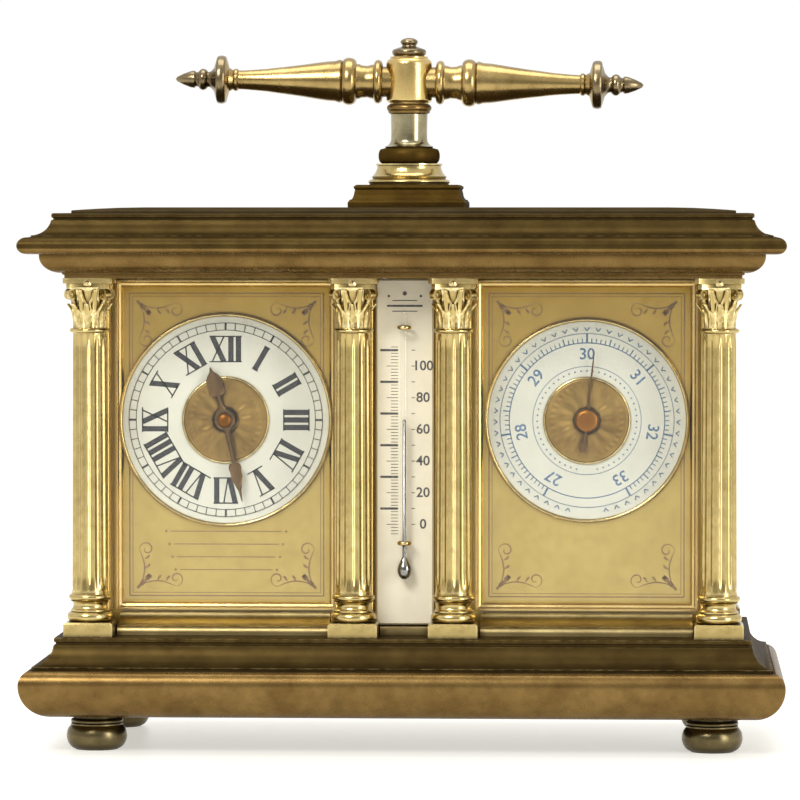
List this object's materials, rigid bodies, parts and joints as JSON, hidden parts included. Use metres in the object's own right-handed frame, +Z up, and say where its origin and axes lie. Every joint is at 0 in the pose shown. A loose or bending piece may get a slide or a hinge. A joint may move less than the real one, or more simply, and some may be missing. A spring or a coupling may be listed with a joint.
{
  "type": "desk compendium clock thermometer barometer",
  "caption": "Brass carriage-clock case holding a clock, a thermometer and an aneroid barometer side by side, with columns and a T-handle.",
  "frame": {"origin": "on the table under the centre of the case", "axes": "+Z up, the dials face -Y, +X to the right seen from the front"},
  "size_m": [0.17, 0.084, 0.1601],
  "materials": {
    "gilt": "polished gilt brass, softly worn",
    "aged_brass": "aged gilt brass with brown patina",
    "dark_brass": "dark brown patinated brass",
    "satin_gilt": "satin gilt",
    "movement_brass": "grained brass",
    "steel": "polished steel",
    "blued_steel": "blackened steel",
    "nickel": "nickel silver",
    "enamel": "white enamel",
    "porcelain": "glazed porcelain",
    "glass": "clear polished glass"
  },
  "bodies": {
    "case": {"foot_front_left": "dark_brass", "foot_front_right": "dark_brass", "foot_rear_left": "dark_brass", "foot_rear_right": "dark_brass", "base_moulding": "aged_brass", "cornice_moulding": "aged_brass", "roof_panel": "dark_brass", "column_front_left": "gilt", "column_front_right": "gilt", "column_rear_left": "gilt", "column_rear_right": "gilt", "column_inner_left": "gilt", "column_inner_right": "gilt", "centre_panel": "satin_gilt", "thermometer_plate": "porcelain", "thermometer_tube": "glass", "glass_front_left": "glass", "glass_front_right": "glass", "glass_side_left": "glass", "glass_side_right": "glass", "mask_left": "satin_gilt", "mask_right": "satin_gilt", "clock_ring": "enamel", "barometer_ring": "enamel", "clock_dial_centre": "satin_gilt", "barometer_dial_centre": "satin_gilt", "movement_front_plate": "movement_brass", "movement_back_plate": "movement_brass", "movement_pillar_1": "movement_brass", "movement_pillar_2": "movement_brass", "movement_pillar_3": "movement_brass", "movement_pillar_4": "movement_brass", "balance_platform": "movement_brass", "aneroid_capsule": "nickel", "aneroid_frame": "movement_brass", "rear_door_pivot_lower": "steel", "rear_door_pivot_upper": "steel", "barometer_back_plate": "satin_gilt", "handle_plinth": "dark_brass", "handle_collar": "gilt"},
    "handle": {"handle_post": "dark_brass", "handle_hub": "gilt", "handle_cap": "gilt", "handle_arm_left": "gilt", "handle_arm_right": "gilt"},
    "hour_work": {"hour_hand": "blued_steel"},
    "minute_work": {"minute_hand": "blued_steel", "centre_arbor": "steel", "centre_wheel": "movement_brass"},
    "third_wheel": {"third_wheel": "movement_brass"},
    "barrel": {"mainspring_barrel": "movement_brass"},
    "winding_arbor": {"winding_arbor": "steel"},
    "balance": {"balance_wheel": "gilt"},
    "pointer": {"barometer_pointer": "blued_steel"},
    "adjuster": {"barometer_adjuster": "steel"},
    "rear_door": {"rear_door_frame": "gilt", "rear_door_glass": "glass", "rear_door_knob": "gilt"}
  },
  "joints": [
    {"name": "handle_swivel", "type": "hinge", "parent": "case", "child": "handle", "pos_m": [0, 0, 0.133], "axis": [0, 0, 1], "continuous": true},
    {"name": "minute_turn", "type": "hinge", "parent": "case", "child": "minute_work", "pos_m": [-0.0408, 0, 0.0735], "axis": [0, 1, 0], "continuous": true},
    {"name": "hour_turn", "type": "hinge", "parent": "case", "child": "hour_work", "pos_m": [-0.0408, 0, 0.0735], "axis": [0, 1, 0], "continuous": true},
    {"name": "third_wheel_turn", "type": "hinge", "parent": "case", "child": "third_wheel", "pos_m": [-0.03189, 0, 0.08241], "axis": [0, 1, 0], "continuous": true},
    {"name": "barrel_turn", "type": "hinge", "parent": "case", "child": "barrel", "pos_m": [-0.0408, 0, 0.0566], "axis": [0, 1, 0], "continuous": true},
    {"name": "winding_turn", "type": "hinge", "parent": "case", "child": "winding_arbor", "pos_m": [-0.0408, 0, 0.0566], "axis": [0, 1, 0], "continuous": true},
    {"name": "balance_swing", "type": "hinge", "parent": "case", "child": "balance", "pos_m": [-0.047, 0, 0.0975], "axis": [0, 0, 1], "range_deg": [-270, 270], "stiffness_Nm_per_rad": 0.00001},
    {"name": "adjuster_turn", "type": "hinge", "parent": "case", "child": "adjuster", "pos_m": [0.0408, 0, 0.0735], "axis": [0, 1, 0], "range_deg": [-250, 250]},
    {"name": "pointer_turn", "type": "hinge", "parent": "case", "child": "pointer", "pos_m": [0.0408, 0, 0.0735], "axis": [0, 1, 0], "range_deg": [-150, 150]},
    {"name": "rear_door_hinge", "type": "hinge", "parent": "case", "child": "rear_door", "pos_m": [-0.0626, 0.0188, 0.0656], "axis": [0, 0, 1], "range_deg": [0, 90]}
  ],
  "couplings": [
    {"joint": "hour_turn", "follows": "minute_turn", "ratio": 0.083333},
    {"joint": "third_wheel_turn", "follows": "minute_turn", "ratio": -8},
    {"joint": "barrel_turn", "follows": "minute_turn", "ratio": -0.125},
    {"joint": "pointer_turn", "follows": "adjuster_turn", "ratio": 0.6}
  ]
}
